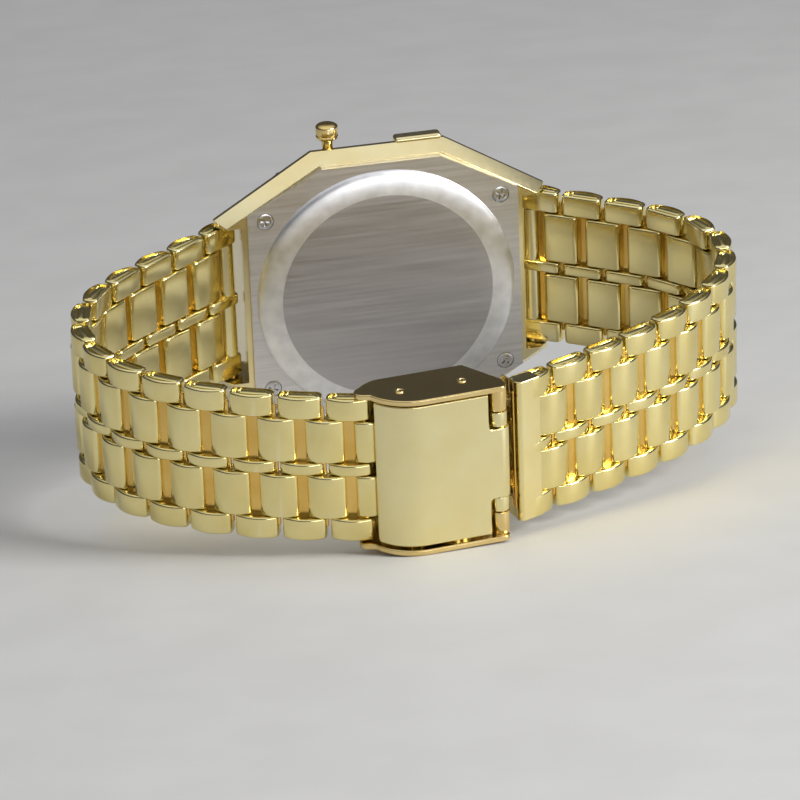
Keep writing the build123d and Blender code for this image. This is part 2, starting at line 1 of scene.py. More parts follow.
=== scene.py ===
import bmesh
import bpy
import json
import math
import mathutils
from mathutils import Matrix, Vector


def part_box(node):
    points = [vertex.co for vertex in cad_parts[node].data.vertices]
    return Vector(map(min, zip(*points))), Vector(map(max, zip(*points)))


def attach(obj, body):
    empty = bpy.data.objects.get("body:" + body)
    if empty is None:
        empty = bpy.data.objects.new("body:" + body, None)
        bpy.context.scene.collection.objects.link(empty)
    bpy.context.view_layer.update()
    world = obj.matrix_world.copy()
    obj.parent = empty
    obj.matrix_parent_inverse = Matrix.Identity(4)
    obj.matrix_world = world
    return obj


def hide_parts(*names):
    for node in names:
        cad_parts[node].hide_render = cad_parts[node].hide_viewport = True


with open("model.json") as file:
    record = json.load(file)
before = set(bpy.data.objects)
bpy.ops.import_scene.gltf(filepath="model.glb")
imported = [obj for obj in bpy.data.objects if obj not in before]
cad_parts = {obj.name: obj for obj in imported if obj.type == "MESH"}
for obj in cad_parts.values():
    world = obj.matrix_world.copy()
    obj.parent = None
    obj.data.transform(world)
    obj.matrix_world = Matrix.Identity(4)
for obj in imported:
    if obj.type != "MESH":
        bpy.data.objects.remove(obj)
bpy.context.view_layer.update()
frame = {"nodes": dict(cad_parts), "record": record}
mm = 0.001

# The camera looks from behind and above at the clasp side of the closed bracelet, with the
# case in the distance. Its turn, tilt and roll were worked out from the caseback's screws.
camera_turn = math.radians(11.5)
camera_tilt = math.radians(25.0)
camera_roll = math.radians(2.2)
camera_distance = 600 * mm
camera_shift_across = -1.0 * mm
camera_shift_down = 11.9 * mm
plate_face_y = 0.9 * mm
lens_px = 5478
image_px = 800
across = mathutils.Vector((math.cos(camera_turn), -math.sin(camera_turn), 0))
look = mathutils.Vector((
    math.sin(camera_turn) * math.cos(camera_tilt),
    math.cos(camera_turn) * math.cos(camera_tilt),
    -math.sin(camera_tilt),
))
upward = across.cross(look)
camera_data = bpy.data.cameras.new("studio_camera")
camera_data.sensor_width = 36
camera_data.lens = lens_px / image_px * camera_data.sensor_width
camera_data.clip_start = 0.01
camera_data.clip_end = 10
camera = bpy.data.objects.new("studio_camera", camera_data)
camera_right = across * math.cos(camera_roll) - upward * math.sin(camera_roll)
camera_up = across * math.sin(camera_roll) + upward * math.cos(camera_roll)
place = mathutils.Vector((0, plate_face_y, 0)) - look * camera_distance
place += across * -camera_shift_across - upward * camera_shift_down
turn = mathutils.Matrix((camera_right, camera_up, -look)).transposed()
camera.matrix_world = mathutils.Matrix.Translation(place) @ turn.to_4x4()
bpy.context.scene.collection.objects.link(camera)
bpy.context.scene.camera = camera

# The case: a moulded octagon, gold plated and polished, with a short fixed guard on its upper
# long side. It is hollowed for the works, and slotted at both ends for the bracelet's bars.
def bare_skin(name, metallic=0.0):
    """A new material with its nodes, its shader and the piece's own coordinates."""
    skin = bpy.data.materials.new(name)
    skin.use_nodes = True
    tree = skin.node_tree
    shader = tree.nodes["Principled BSDF"]
    shader.inputs["Metallic"].default_value = metallic
    return skin, tree, shader, tree.nodes.new("ShaderNodeTexCoord").outputs["Object"]


def noise(tree, vector, scale, detail=2.0, roughness=0.5):
    """A noise pattern over the piece."""
    pattern = tree.nodes.new("ShaderNodeTexNoise")
    pattern.inputs["Scale"].default_value = scale
    pattern.inputs["Detail"].default_value = detail
    pattern.inputs["Roughness"].default_value = roughness
    tree.links.new(vector, pattern.inputs["Vector"])
    return pattern.outputs["Fac"]


def ramp(tree, source, low, low_colour, high, high_colour):
    """A colour that runs between two stops as its source rises."""
    tone = tree.nodes.new("ShaderNodeValToRGB")
    for stop, position, colour in ((0, low, low_colour), (1, high, high_colour)):
        tone.color_ramp.elements[stop].position = position
        tone.color_ramp.elements[stop].color = (*colour, 1)
    tree.links.new(source, tone.inputs["Fac"])
    return tone.outputs["Color"]


def ranged(tree, source, from_low, from_high, to_low, to_high):
    """A pattern moved from one range of values into another."""
    scaler = tree.nodes.new("ShaderNodeMapRange")
    scaler.inputs["From Min"].default_value = from_low
    scaler.inputs["From Max"].default_value = from_high
    scaler.inputs["To Min"].default_value = to_low
    scaler.inputs["To Max"].default_value = to_high
    tree.links.new(source, scaler.inputs["Value"])
    return scaler.outputs["Result"]


def toward(tree, amount, colour, other):
    """A colour drawn toward another one by a varying amount."""
    mixer = tree.nodes.new("ShaderNodeMix")
    mixer.data_type = "RGBA"
    mixer.inputs[7].default_value = (*other, 1)
    tree.links.new(amount, mixer.inputs[0])
    tree.links.new(colour, mixer.inputs[6])
    return mixer.outputs[2]


def bump(tree, shader, source, strength, depth):
    """Gives the shader a fine relief."""
    relief = tree.nodes.new("ShaderNodeBump")
    relief.inputs["Strength"].default_value = strength
    relief.inputs["Distance"].default_value = depth
    tree.links.new(source, relief.inputs["Height"])
    tree.links.new(relief.outputs["Normal"], shader.inputs["Normal"])


def plated_gold(name, pale, deep, smooth, worn, grain_scale, specks=0.0, rubbed=False):
    """Polished gold plating: cloudy tone, swirls in the gloss and a fine grain. It can be
    rubbed paler along its edges, and have dark pinhole specks."""
    skin, tree, shader, place = bare_skin(name, 1.0)
    colour = ramp(tree, noise(tree, place, 240, 4), 0.35, deep, 0.66, pale)
    if rubbed:
        edge = tree.nodes.new("ShaderNodeNewGeometry").outputs["Pointiness"]
        colour = toward(tree, ranged(tree, edge, 0.52, 0.64, 0, 0.6), colour, (0.95, 0.88, 0.62))
    if specks:
        pinholes = ranged(tree, noise(tree, place, 7000, 1), 0.7, 0.78, 0, specks)
        colour = toward(tree, pinholes, colour, (0.3, 0.2, 0.08))
    tree.links.new(colour, shader.inputs["Base Color"])
    swirl = noise(tree, place, grain_scale, 8, 0.7)
    tree.links.new(ranged(tree, swirl, 0.3, 0.7, smooth, worn), shader.inputs["Roughness"])
    bump(tree, shader, noise(tree, place, grain_scale * 3, 5), 0.06, 0.004 * mm)
    return skin


def round_edges(piece, width, steps, sharp):
    """Rounds a piece's sharp edges."""
    soft_edge = piece.modifiers.new("soft_edge", "BEVEL")
    soft_edge.width = width
    soft_edge.segments = steps
    soft_edge.limit_method = "ANGLE"
    soft_edge.angle_limit = math.radians(sharp)
    soft_edge.harden_normals = True


def dress(node, skin, rounding=0.0, steps=2):
    """Gives a node from the frame its finish, and rounds its sharp edges."""
    piece = frame["nodes"][node]
    piece.data.materials.clear()
    piece.data.materials.append(skin)
    if rounding:
        flat_faces = piece.modifiers.new("flat_faces", "DECIMATE")
        flat_faces.decimate_type = "DISSOLVE"
        flat_faces.angle_limit = math.radians(0.6)
        round_edges(piece, rounding, steps, 28)


def walls(form, rows):
    """Joins each ring of points to the next one with a belt of faces."""
    for below, above in zip(rows, rows[1:]):
        for step in range(len(below)):
            beside = (step + 1) % len(below)
            form.faces.new((below[step], below[beside], above[beside], above[step]))


def span(side, near, far):
    """Two distances on one side of the middle, the lower one first."""
    return sorted((side * near, side * far))


def turned(form, profile, place, steps=40):
    """A turned piece about local Z; the profile runs from its foot to its tip."""
    rings = []
    for radius, height in profile:
        ring = []
        for step in range(steps):
            angle = 2 * math.pi * step / steps
            ring.append(form.verts.new(place @ mathutils.Vector((
                radius * math.cos(angle), radius * math.sin(angle), height,
            ))))
        rings.append(ring)
    walls(form, rings)
    form.faces.new(list(reversed(rings[0])))
    form.faces.new(rings[-1])


def block(form, low, high, place):
    """A square cornered block between two corners."""
    corners = [
        form.verts.new(place @ mathutils.Vector((x, y, z)))
        for z in (low[2], high[2])
        for x, y in ((low[0], low[1]), (high[0], low[1]), (high[0], high[1]), (low[0], high[1]))
    ]
    form.faces.new(list(reversed(corners[:4])))
    form.faces.new(corners[4:])
    walls(form, [corners[:4], corners[4:]])


def cut_away(form, tools):
    """The form with each tool's shape cut out of it."""
    made = []
    for label, source in [("stock", form), *[("tool", tool) for tool in tools]]:
        bmesh.ops.recalc_face_normals(source, faces=source.faces)
        mesh = bpy.data.meshes.new(label)
        source.to_mesh(mesh)
        source.free()
        made.append(bpy.data.objects.new(label, mesh))
        bpy.context.scene.collection.objects.link(made[-1])
    for tool in made[1:]:
        cut = made[0].modifiers.new("cut", "BOOLEAN")
        cut.operation = "DIFFERENCE"
        cut.solver = "EXACT"
        cut.object = tool
    ready = made[0].evaluated_get(bpy.context.evaluated_depsgraph_get())
    result = bmesh.new()
    result.from_mesh(ready.to_mesh())
    ready.to_mesh_clear()
    for item in made:
        spare = item.data
        bpy.data.objects.remove(item)
        bpy.data.meshes.remove(spare)
    return result


def finish_piece(form, name, skin, body, nodes, sharp=32, rounding=0.0):
    """Turns the built form into a smooth shaded piece that stands for its nodes."""
    bmesh.ops.recalc_face_normals(form, faces=form.faces)
    mesh = bpy.data.meshes.new(name)
    form.to_mesh(mesh)
    form.free()
    mesh.shade_smooth()
    mesh.set_sharp_from_angle(angle=math.radians(sharp))
    mesh.materials.append(skin)
    piece = bpy.data.objects.new(name, mesh)
    bpy.context.scene.collection.objects.link(piece)
    if rounding:
        round_edges(piece, rounding, 3, sharp)
    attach(piece, body)
    if nodes:
        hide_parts(*nodes)
    return piece


def octagon(half_x, half_z, flat_half, end_half):
    """The head's outline: long flats at the ends and short ones at the sides."""
    return [
        (half_x, -end_half), (half_x, end_half), (flat_half, half_z), (-flat_half, half_z),
        (-half_x, end_half), (-half_x, -end_half), (-flat_half, -half_z), (flat_half, -half_z),
    ]


def stacked(form, layers):
    """A solid of the head from outlines at rising heights through the watch."""
    rows = [[form.verts.new((x, y, z)) for x, z in outline] for y, outline in layers]
    form.faces.new(list(reversed(rows[0])))
    form.faces.new(rows[-1])
    walls(form, rows)


def through(low_y, high_y, *sizes):
    """A cutter with one outline from the back to the front."""
    cutter = bmesh.new()
    outline = octagon(*sizes)
    stacked(cutter, [(low_y, outline), (high_y, outline)])
    return cutter


half_length = 18.4 * mm
half_width = 16.6 * mm
flat_half = 7.4 * mm
end_half = 9.9 * mm
# height through the watch and how far the outline is drawn in there, both in millimetres
case_steps = ((1.5, 1.1), (2.5, 0.3), (3.0, 0.0), (3.5, 0.0), (5.4, 0.9), (7.3, 1.8), (7.9, 2.2))
case_top = 8.0 * mm
crystal_seat = 6.9 * mm
plate_recess_top = 1.9 * mm
works_recess_top = 6.35 * mm
plate_recess = (15.05 * mm, 15.25 * mm, 6.6 * mm, 10.6 * mm)
works_recess = (14.0 * mm, 13.6 * mm, 8.5 * mm, 8.1 * mm)
window = (13.3 * mm, 11.3 * mm, 8.9 * mm, 6.9 * mm)
crystal_recess = (14.75 * mm, 12.75 * mm, 10.35 * mm, 8.35 * mm)
clear = 2.0 * mm
lug_gap_half = 9.2 * mm
lug_gap_depth = 2.75 * mm
lug_bar_y = 4.3 * mm
lug_bar_inset = 1.15 * mm
lug_tip_radius = 0.4 * mm
lug_tip_depth = 0.5 * mm
pusher_x = 5.2 * mm
pusher_y = 4.6 * mm
bore_radius = 0.65 * mm
bore_depth = 5 * mm
guard_start = 2.0 * mm
guard_end = 7.2 * mm
guard_back = 2.9 * mm
guard_front = 4.6 * mm
guard_rise = 0.45 * mm
# the case's gold is a paler copy of the bracelet's gold, a painted highlight that brightens the
# whole case
case_gold = plated_gold("case_gold", (0.95, 0.84, 0.5), (0.91, 0.77, 0.41), 0.14, 0.26, 1400)
case_form = bmesh.new()
layers = []
for height, less in case_steps:
    inward = less * mm
    layers.append((height * mm, octagon(
        half_length - inward, half_width - inward, flat_half - inward / 2, end_half - inward / 2,
    )))
stacked(case_form, layers)
case_tools = [
    through(-clear, plate_recess_top, *plate_recess),
    through(-clear, works_recess_top, *works_recess),
    through(clear, case_top + clear, *window),
    through(crystal_seat, case_top + clear, *crystal_recess),
]
for side in (-1, 1):
    slot_form = bmesh.new()
    slot_start, slot_end = span(side, half_length - lug_gap_depth, half_length + clear)
    block(
        slot_form, (slot_start, -clear, -lug_gap_half), (slot_end, case_top + clear, lug_gap_half),
        mathutils.Matrix(),
    )
    case_tools.append(slot_form)
    tip_form = bmesh.new()
    tip_place = mathutils.Matrix.Translation((side * (half_length - lug_bar_inset), lug_bar_y, 0))
    tip_half = lug_gap_half + lug_tip_depth
    turned(tip_form, [(lug_tip_radius, -tip_half), (lug_tip_radius, tip_half)], tip_place)
    case_tools.append(tip_form)
for x, z_side in ((-pusher_x, 1), (-pusher_x, -1), (pusher_x, -1)):
    bore_form = bmesh.new()
    bore_place = mathutils.Matrix.Translation((x, pusher_y, 0))
    bore_low, bore_high = span(z_side, half_width - bore_depth, half_width + clear)
    turned(bore_form, [(bore_radius, bore_low), (bore_radius, bore_high)], bore_place)
    case_tools.append(bore_form)
case_form = cut_away(case_form, case_tools)
guard_form = bmesh.new()
guard_low = (guard_start, guard_back, half_width - guard_rise)
guard_high = (guard_end, guard_front, half_width + guard_rise)
block(guard_form, guard_low, guard_high, mathutils.Matrix())
finish_piece(
    case_form, "case_moulding", case_gold, "head", ["case_shell"],
    sharp=28, rounding=0.25 * mm,
)
finish_piece(
    guard_form, "pusher_guard", case_gold, "head", [], sharp=28, rounding=0.35 * mm,
)
dress("lug_spring_bars", case_gold)

# The caseback: a stamped steel octagon. Its round raised disc is brushed along the watch,
# and the broad bevel round the disc is polished bright.
def brushed_steel(name, colour, smooth, rough, stretch, depth):
    """Steel with fine brush lines, drawn out along the axes where the stretch is small."""
    skin, tree, shader, place = bare_skin(name, 1.0)
    squeeze = tree.nodes.new("ShaderNodeMapping")
    squeeze.inputs["Scale"].default_value = stretch
    tree.links.new(place, squeeze.inputs["Vector"])
    lines = noise(tree, squeeze.outputs["Vector"], 2400, 6)
    tone = ramp(tree, lines, 0.3, [0.84 * part for part in colour], 0.7, colour)
    tree.links.new(tone, shader.inputs["Base Color"])
    tree.links.new(ranged(tree, lines, 0.3, 0.7, smooth, rough), shader.inputs["Roughness"])
    bump(tree, shader, lines, depth, 0.01 * mm)
    return skin


plate_rear = 0.9 * mm
disc_reach = 14.4 * mm
disc_flat = 10.1 * mm
disc_proud = 0.02 * mm
disc_steps = 12
back_steel = brushed_steel("back_steel", (0.8, 0.785, 0.79), 0.3, 0.4, (0.03, 1, 1), 0.25)
disc_steel = brushed_steel("disc_steel", (0.56, 0.545, 0.56), 0.32, 0.44, (0.03, 1, 1), 0.3)
bevel_steel = brushed_steel("bevel_steel", (0.9, 0.9, 0.92), 0.34, 0.4, (0.3, 0.3, 0.3), 0.01)
dress("caseback", back_steel, rounding=0.12 * mm)
disc_form = bmesh.new()
disc_profile = [(disc_reach, -plate_rear)]
for step in range(disc_steps + 1):
    angle = math.pi / 2 * step / disc_steps
    radius = disc_flat + (disc_reach - disc_flat) * math.cos(angle)
    disc_profile.append((radius, -plate_rear + (plate_rear + disc_proud) * math.sin(angle)))
facing_back = mathutils.Matrix.Rotation(math.radians(90), 4, "X")
turned(disc_form, disc_profile, facing_back, 96)
disc_piece = finish_piece(
    disc_form, "caseback_disc", bevel_steel, "head", [], sharp=60,
)
disc_piece.data.materials.append(disc_steel)
for face in disc_piece.data.polygons:
    if face.normal.y < -0.995:
        face.material_index = 1

# The caseback screws: small turned steel screws with a crossed driver slot, sunk into the
# plate's four corners. Each is pressed tight on the plate by its short thread.
screw_radius = 0.95 * mm
screw_height = 0.42 * mm
screw_rim = 0.14 * mm
screw_ease = 0.02 * mm
slot_width = 0.24 * mm
slot_length = 1.15 * mm
slot_depth = 0.26 * mm
shank_radius = 0.48 * mm
screw_steel = brushed_steel("screw_steel", (0.72, 0.72, 0.74), 0.14, 0.3, (1, 1, 1), 0.2)


def add_form(form, part):
    """Moves a finished form into a larger one."""
    mesh = bpy.data.meshes.new("part")
    part.to_mesh(mesh)
    part.free()
    form.from_mesh(mesh)
    bpy.data.meshes.remove(mesh)


screws_low, screws_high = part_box("caseback_screws")
screws_form = bmesh.new()
for x_side in (-1, 1):
    for z_side in (-1, 1):
        middle = mathutils.Vector((
            x_side * (screws_high.x - screw_radius),
            screws_low.y,
            z_side * (screws_high.z - screw_radius),
        ))
        slot_turn = math.radians(20 + 35 * x_side + 10 * z_side)
        to_screw = mathutils.Matrix.Translation(middle) @ facing_back
        to_screw = to_screw @ mathutils.Matrix.Rotation(slot_turn, 4, "Z")
        screw_form = bmesh.new()
        turned(screw_form, [
            (shank_radius, screws_low.y - screws_high.y),
            (shank_radius, -screw_height),
            (screw_radius - screw_ease, -screw_height),
            (screw_radius - screw_ease, -screw_rim),
            (screw_radius - screw_rim / 2, -screw_rim / 3),
            (screw_radius - screw_rim * 1.4, 0),
        ], to_screw)
        slots = []
        for length, width in ((slot_length, slot_width), (slot_width, slot_length)):
            slot_form = bmesh.new()
            slot_low = (-length / 2, -width / 2, -slot_depth)
            slot_high = (length / 2, width / 2, screw_rim)
            block(slot_form, slot_low, slot_high, to_screw)
            slots.append(slot_form)
        add_form(screws_form, cut_away(screw_form, slots))
finish_piece(
    screws_form, "caseback_screw_heads", screw_steel, "head", ["caseback_screws"],
)

# The working parts shut inside the head: a moulded frame, the circuit board, a button cell
# under its sprung strip, the lamp, and the rubber rings that keep water out.
def moulded(name, colour, rough, grain_scale, spots=None, relief=0.3):
    """Moulded or printed plastic: a cloudy colour, an uneven gloss and a fine grain."""
    skin, tree, shader, place = bare_skin(name)
    cloud = noise(tree, place, grain_scale / 4, 5)
    tone = ramp(tree, cloud, 0.38, spots or [0.8 * part for part in colour], 0.62, colour)
    tree.links.new(tone, shader.inputs["Base Color"])
    gloss = ranged(tree, cloud, 0, 1, rough - 0.08, rough + 0.12)
    tree.links.new(gloss, shader.inputs["Roughness"])
    if relief:
        bump(tree, shader, noise(tree, place, grain_scale), relief, 0.02 * mm)
    return skin


pin_steel = brushed_steel("pin_steel", (0.66, 0.66, 0.68), 0.2, 0.38, (1, 1, 0.1), 0.3)
dress("module_frame", moulded("frame_plastic", (0.03, 0.03, 0.033), 0.45, 2200), rounding=0.1 * mm)
dress("circuit_board", moulded("board_laminate", (0.02, 0.12, 0.05), 0.4, 1600))
dress("battery", screw_steel, rounding=0.12 * mm)
dress("battery_clip", pin_steel)
dress("light_source", moulded("lamp_cover", (0.75, 0.7, 0.5), 0.25, 1500))
ring_rubber = moulded("ring_rubber", (0.02, 0.02, 0.02), 0.6, 2600)
dress("caseback_gasket", ring_rubber)
dress("crystal_gasket", ring_rubber)

# The display side: a printed mask under a clear flat crystal. The display behind it shows
# plain seven-bar digits in dull red, two above two, each bar a thin raised print on dark glass.
digit_height = 5.6 * mm
digit_width = 3.1 * mm
digit_pitch = 5.0 * mm
row_pitch = 7.8 * mm
bar_thickness = 0.55 * mm
bar_gap = 0.08 * mm
print_depth = 0.05 * mm
digit_slant = 0.08
shown_digits = "1008"
lit_bars = {"0": "abcdef", "1": "bc", "8": "abcdefg"}
glass_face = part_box("display_panel")[1].y
half_digit = digit_height / 2
bar_places = {
    "a": ((0, half_digit), digit_width, True),
    "g": ((0, 0), digit_width, True),
    "d": ((0, -half_digit), digit_width, True),
    "b": ((digit_width / 2, half_digit / 2), half_digit, False),
    "c": ((digit_width / 2, -half_digit / 2), half_digit, False),
    "f": ((-digit_width / 2, half_digit / 2), half_digit, False),
    "e": ((-digit_width / 2, -half_digit / 2), half_digit, False),
}
digits_form = bmesh.new()


def lit_bar(centre, length, level):
    """One pointed bar of a digit; the wearer reads it with 12 o'clock up."""
    run = length / 2 - bar_gap
    half = bar_thickness / 2
    outline = [
        (-run, 0), (-run + half, half), (run - half, half),
        (run, 0), (run - half, -half), (-run + half, -half),
    ]
    rows = []
    for height in (glass_face, glass_face + print_depth):
        row = []
        for along, side in outline:
            right, up = (along, side) if level else (side, along)
            right, up = centre[0] + right, centre[1] + up
            right += digit_slant * up
            row.append(digits_form.verts.new((up, height, right)))
        rows.append(row)
    digits_form.faces.new(rows[1])
    digits_form.faces.new(reversed(rows[0]))
    walls(digits_form, rows)


for order, digit in enumerate(shown_digits):
    row, column = divmod(order, 2)
    for bar in lit_bars[digit]:
        (right, up), length, level = bar_places[bar]
        bar_centre = ((column - 0.5) * digit_pitch + right, (0.5 - row) * row_pitch + up)
        lit_bar(bar_centre, length, level)
lit_red = moulded("lit_red", (0.8, 0.05, 0.03), 0.3, 2000)
finish_piece(digits_form, "lit_digits", lit_red, "head", [])
dress("display_panel", moulded("display_glass", (0.02, 0.006, 0.006), 0.12, 900))
dress("display_carrier", moulded("carrier_plastic", (0.04, 0.04, 0.045), 0.4, 2400))
mask_print = moulded("mask_print", (0.012, 0.012, 0.016), 0.25, 12000, (0.013, 0.013, 0.018))
dress("dial_mask", mask_print)
crystal_clear = moulded("crystal_clear", (0.97, 0.98, 0.98), 0.12, 500, relief=0)
crystal_shader = crystal_clear.node_tree.nodes["Principled BSDF"]
crystal_shader.inputs["Transmission Weight"].default_value = 1.0
crystal_shader.inputs["IOR"].default_value = 1.49
dress("crystal", crystal_clear, rounding=0.3 * mm, steps=3)

# The pushers: turned gold plated buttons with a domed cap and a groove at its foot. Each
# slides in the case on a thin stem, and a clip inside keeps it from falling out.
cap_radius = 1.22 * mm
cap_length = 1.7 * mm
cap_dome = 0.16 * mm
cap_groove = 0.1 * mm
stem_radius = 0.6 * mm
clip_radius = 1.1 * mm
clip_thickness = 0.3 * mm
stem_tail = 1.0 * mm
pusher_gold = plated_gold(
    "pusher_gold", (0.92, 0.72, 0.3), (0.85, 0.62, 0.22), 0.1, 0.2, 1600, rubbed=True,
)
for node, z_side in (("pusher_4_oclock", 1), ("pusher_8_oclock", -1), ("pusher_10_oclock", -1)):
    low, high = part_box(node)
    tip = high.z if z_side > 0 else -low.z
    inner_end = low.z if z_side > 0 else -high.z
    to_pusher = mathutils.Matrix.Translation(((low.x + high.x) / 2, (low.y + high.y) / 2, 0))
    if z_side < 0:
        to_pusher = to_pusher @ mathutils.Matrix.Rotation(math.pi, 4, "X")
    cap_foot = tip - cap_length
    button_form = bmesh.new()
    turned(button_form, [
        (stem_radius, inner_end),
        (stem_radius, inner_end + stem_tail - clip_thickness),
        (clip_radius, inner_end + stem_tail - clip_thickness),
        (clip_radius, inner_end + stem_tail),
        (stem_radius, inner_end + stem_tail),
        (stem_radius, cap_foot),
        (cap_radius - cap_groove, cap_foot),
        (cap_radius, cap_foot + cap_groove),
        (cap_radius, cap_foot + 3 * cap_groove),
        (cap_radius - cap_groove, cap_foot + 4 * cap_groove),
        (cap_radius - cap_groove, cap_foot + 5 * cap_groove),
        (cap_radius, cap_foot + 6 * cap_groove),
        (cap_radius, tip - 2.4 * cap_dome),
        (cap_radius - 0.3 * cap_dome, tip - 1.6 * cap_dome),
        (cap_radius - 1.1 * cap_dome, tip - cap_dome),
        (cap_radius * 0.7, tip - 0.45 * cap_dome),
        (cap_radius * 0.4, tip - 0.12 * cap_dome),
        (cap_radius * 0.1, tip),
    ], to_pusher)
    finish_piece(
        button_form, node + "_button", pusher_gold, node, [node], sharp=40,
    )

# The bracelet: each link is pressed from folded sheet. Three narrow bars stand on one flat
# strip, and two crowned sleeves are rolled round the strip's far half, so that the links
# interlock like brickwork. The edge bars show the fold of the sheet at their ends.
link_pitch = 5.02 * mm
bar_height = 2.2 * mm
bar_crown = 0.46 * mm
narrow_length = 4.55 * mm
sleeve_length = 4.1 * mm
narrow_width = 2.4 * mm
middle_width = 1.3 * mm
column_gap = 0.13 * mm
strip_height = 0.4 * mm
strip_hem = 0.45 * mm
strip_crown = 0.02 * mm
strip_corner = 0.1 * mm
trio_centre = link_pitch / 4
sleeve_centre = trio_centre + link_pitch / 2
corner_roll = 0.5 * mm
end_roll = 0.26 * mm
fold_rim = 0.3 * mm
fold_depth = 0.22 * mm
fold_taper = 0.04 * mm
fold_inset = 0.05 * mm
fold_root = 0.1 * mm
tube_radius = 1.02 * mm
tube_bore = 0.8 * mm
tube_steps = 28


def crowned_outline(centre, length, low, high, crown, corner):
    """Side view of a pressed bar: rounded corners and an arched outer face."""
    points = []
    half = length / 2
    shoulder = high - crown
    for x_side, begin in ((-1, 180), (1, 270)):
        for step in range(5):
            angle = math.radians(begin + step * 22.5)
            points.append((
                centre + x_side * (half - corner) + corner * math.cos(angle),
                low + corner + corner * math.sin(angle),
            ))
    for step in range(5):
        angle = math.radians(step * 18)
        points.append((
            centre + half - corner + corner * math.cos(angle),
            shoulder - corner + corner * math.sin(angle),
        ))
    for step in range(1, 10):
        share = 1 - step / 5
        reach = half - corner * 0.8
        points.append((centre + share * reach, shoulder + crown * (1 - share * share)))
    for step in range(5):
        angle = math.radians(180 - 72 + step * 18)
        points.append((
            centre - half + corner + corner * math.cos(angle),
            shoulder - corner + corner * math.sin(angle),
        ))
    return points


def inset(points, amount):
    """The outline drawn in on all sides by about this amount."""
    xs = [point[0] for point in points]
    ys = [point[1] for point in points]
    middle_x, middle_y = (min(xs) + max(xs)) / 2, (min(ys) + max(ys)) / 2
    share_x = 1 - 2 * amount / (max(xs) - min(xs))
    share_y = 1 - 2 * amount / (max(ys) - min(ys))
    return [
        (middle_x + (x - middle_x) * share_x, middle_y + (y - middle_y) * share_y)
        for x, y in points
    ]


def pressed_bar(form, outline, low, high, to_place, open_ends=(False, False)):
    """A bar across the bracelet with rolled ends; an open end shows the folded sheet's rim."""
    layers = []
    for side, z, is_open in ((-1, low, open_ends[0]), (1, high, open_ends[1])):
        rings = [
            (outline, z - side * end_roll),
            (inset(outline, end_roll * 0.12), z - side * end_roll * 0.55),
            (inset(outline, end_roll * 0.42), z - side * end_roll * 0.18),
            (inset(outline, end_roll), z),
        ]
        if is_open:
            rings.append((inset(outline, fold_rim), z))
            rings.append((inset(outline, fold_rim + fold_taper), z - side * fold_depth))
        layers.append(rings if side > 0 else list(reversed(rings)))
    rows = []
    for ring, z in [*layers[0], *layers[1]]:
        rows.append([form.verts.new(to_place @ mathutils.Vector((x, y, z))) for x, y in ring])
    walls(form, rows)
    form.faces.new(list(reversed(rows[0])))
    form.faces.new(rows[-1])


narrow_outline = crowned_outline(
    trio_centre, narrow_length, -bar_height / 2, bar_height / 2, bar_crown, corner_roll,
)
sleeve_outline = crowned_outline(
    sleeve_centre, sleeve_length, -bar_height / 2, bar_height / 2, bar_crown, corner_roll,
)
# a fold line runs along the ends of the edge bars, where the sheet meets itself
fold_shift = 0.25 * mm
fold_length = narrow_length - 1.3 * mm
fold_low = -0.5 * mm
fold_high = 0.42 * mm
fold_crown = 0.1 * mm
fold_corner = 0.2 * mm
fold_core = crowned_outline(
    trio_centre + fold_shift, fold_length, fold_low, fold_high, fold_crown, fold_corner,
)


def narrow_bars(form, to_place, band_width):
    """The two edge bars, with their folded ends, and the middle bar."""
    edge = band_width / 2
    pressed_bar(form, narrow_outline, edge - narrow_width, edge, to_place, (False, True))
    pressed_bar(form, narrow_outline, -edge, -edge + narrow_width, to_place, (True, False))
    pressed_bar(form, narrow_outline, -middle_width / 2, middle_width / 2, to_place)
    for side in (-1, 1):
        low, high = span(side, edge - fold_inset, edge - fold_depth - fold_root)
        pressed_bar(form, fold_core, low, high, to_place)


def sleeves(form, to_place, band_width):
    """The two crowned sleeves that stand between the narrow bars' columns."""
    sleeve_start = middle_width / 2 + column_gap
    sleeve_width = (band_width - 2 * narrow_width - middle_width - 4 * column_gap) / 2
    for side in (-1, 1):
        low, high = span(side, sleeve_start, sleeve_start + sleeve_width)
        pressed_bar(form, sleeve_outline, low, high, to_place)


def strip(form, to_place, band_width, low, high):
    """The flat strip that joins the narrow bars and runs on into the sleeves."""
    outline = crowned_outline(
        (low + high) / 2, high - low, -strip_height / 2, strip_height / 2,
        strip_crown, strip_corner,
    )
    reach = (band_width - narrow_width) / 2
    first = len(form.faces)
    pressed_bar(form, outline, -reach, reach, to_place)
    # the strip's faces take the second material, the deeper orange painted seam shade
    for face in list(form.faces)[first:]:
        face.material_index = 1


def bar_tube(form, to_place, half_width):
    """The tube rolled round the head's spring bar, open at both ends."""
    rows = []
    for radius, z in ((tube_bore, -1), (tube_radius, -1), (tube_radius, 1), (tube_bore, 1)):
        ring = []
        for step in range(tube_steps):
            angle = 2 * math.pi * step / tube_steps
            ring.append(form.verts.new(to_place @ mathutils.Vector((
                radius * math.cos(angle), radius * math.sin(angle), z * half_width,
            ))))
        rows.append(ring)
    walls(form, [*rows, rows[0]])


joints = {joint["name"]: joint for joint in frame["record"]["behaviour"]["joints"]}
link_gold = plated_gold(
    "link_gold", (0.87, 0.76, 0.36), (0.81, 0.68, 0.28), 0.14, 0.24, 1800,
    specks=0.25, rubbed=True,
)
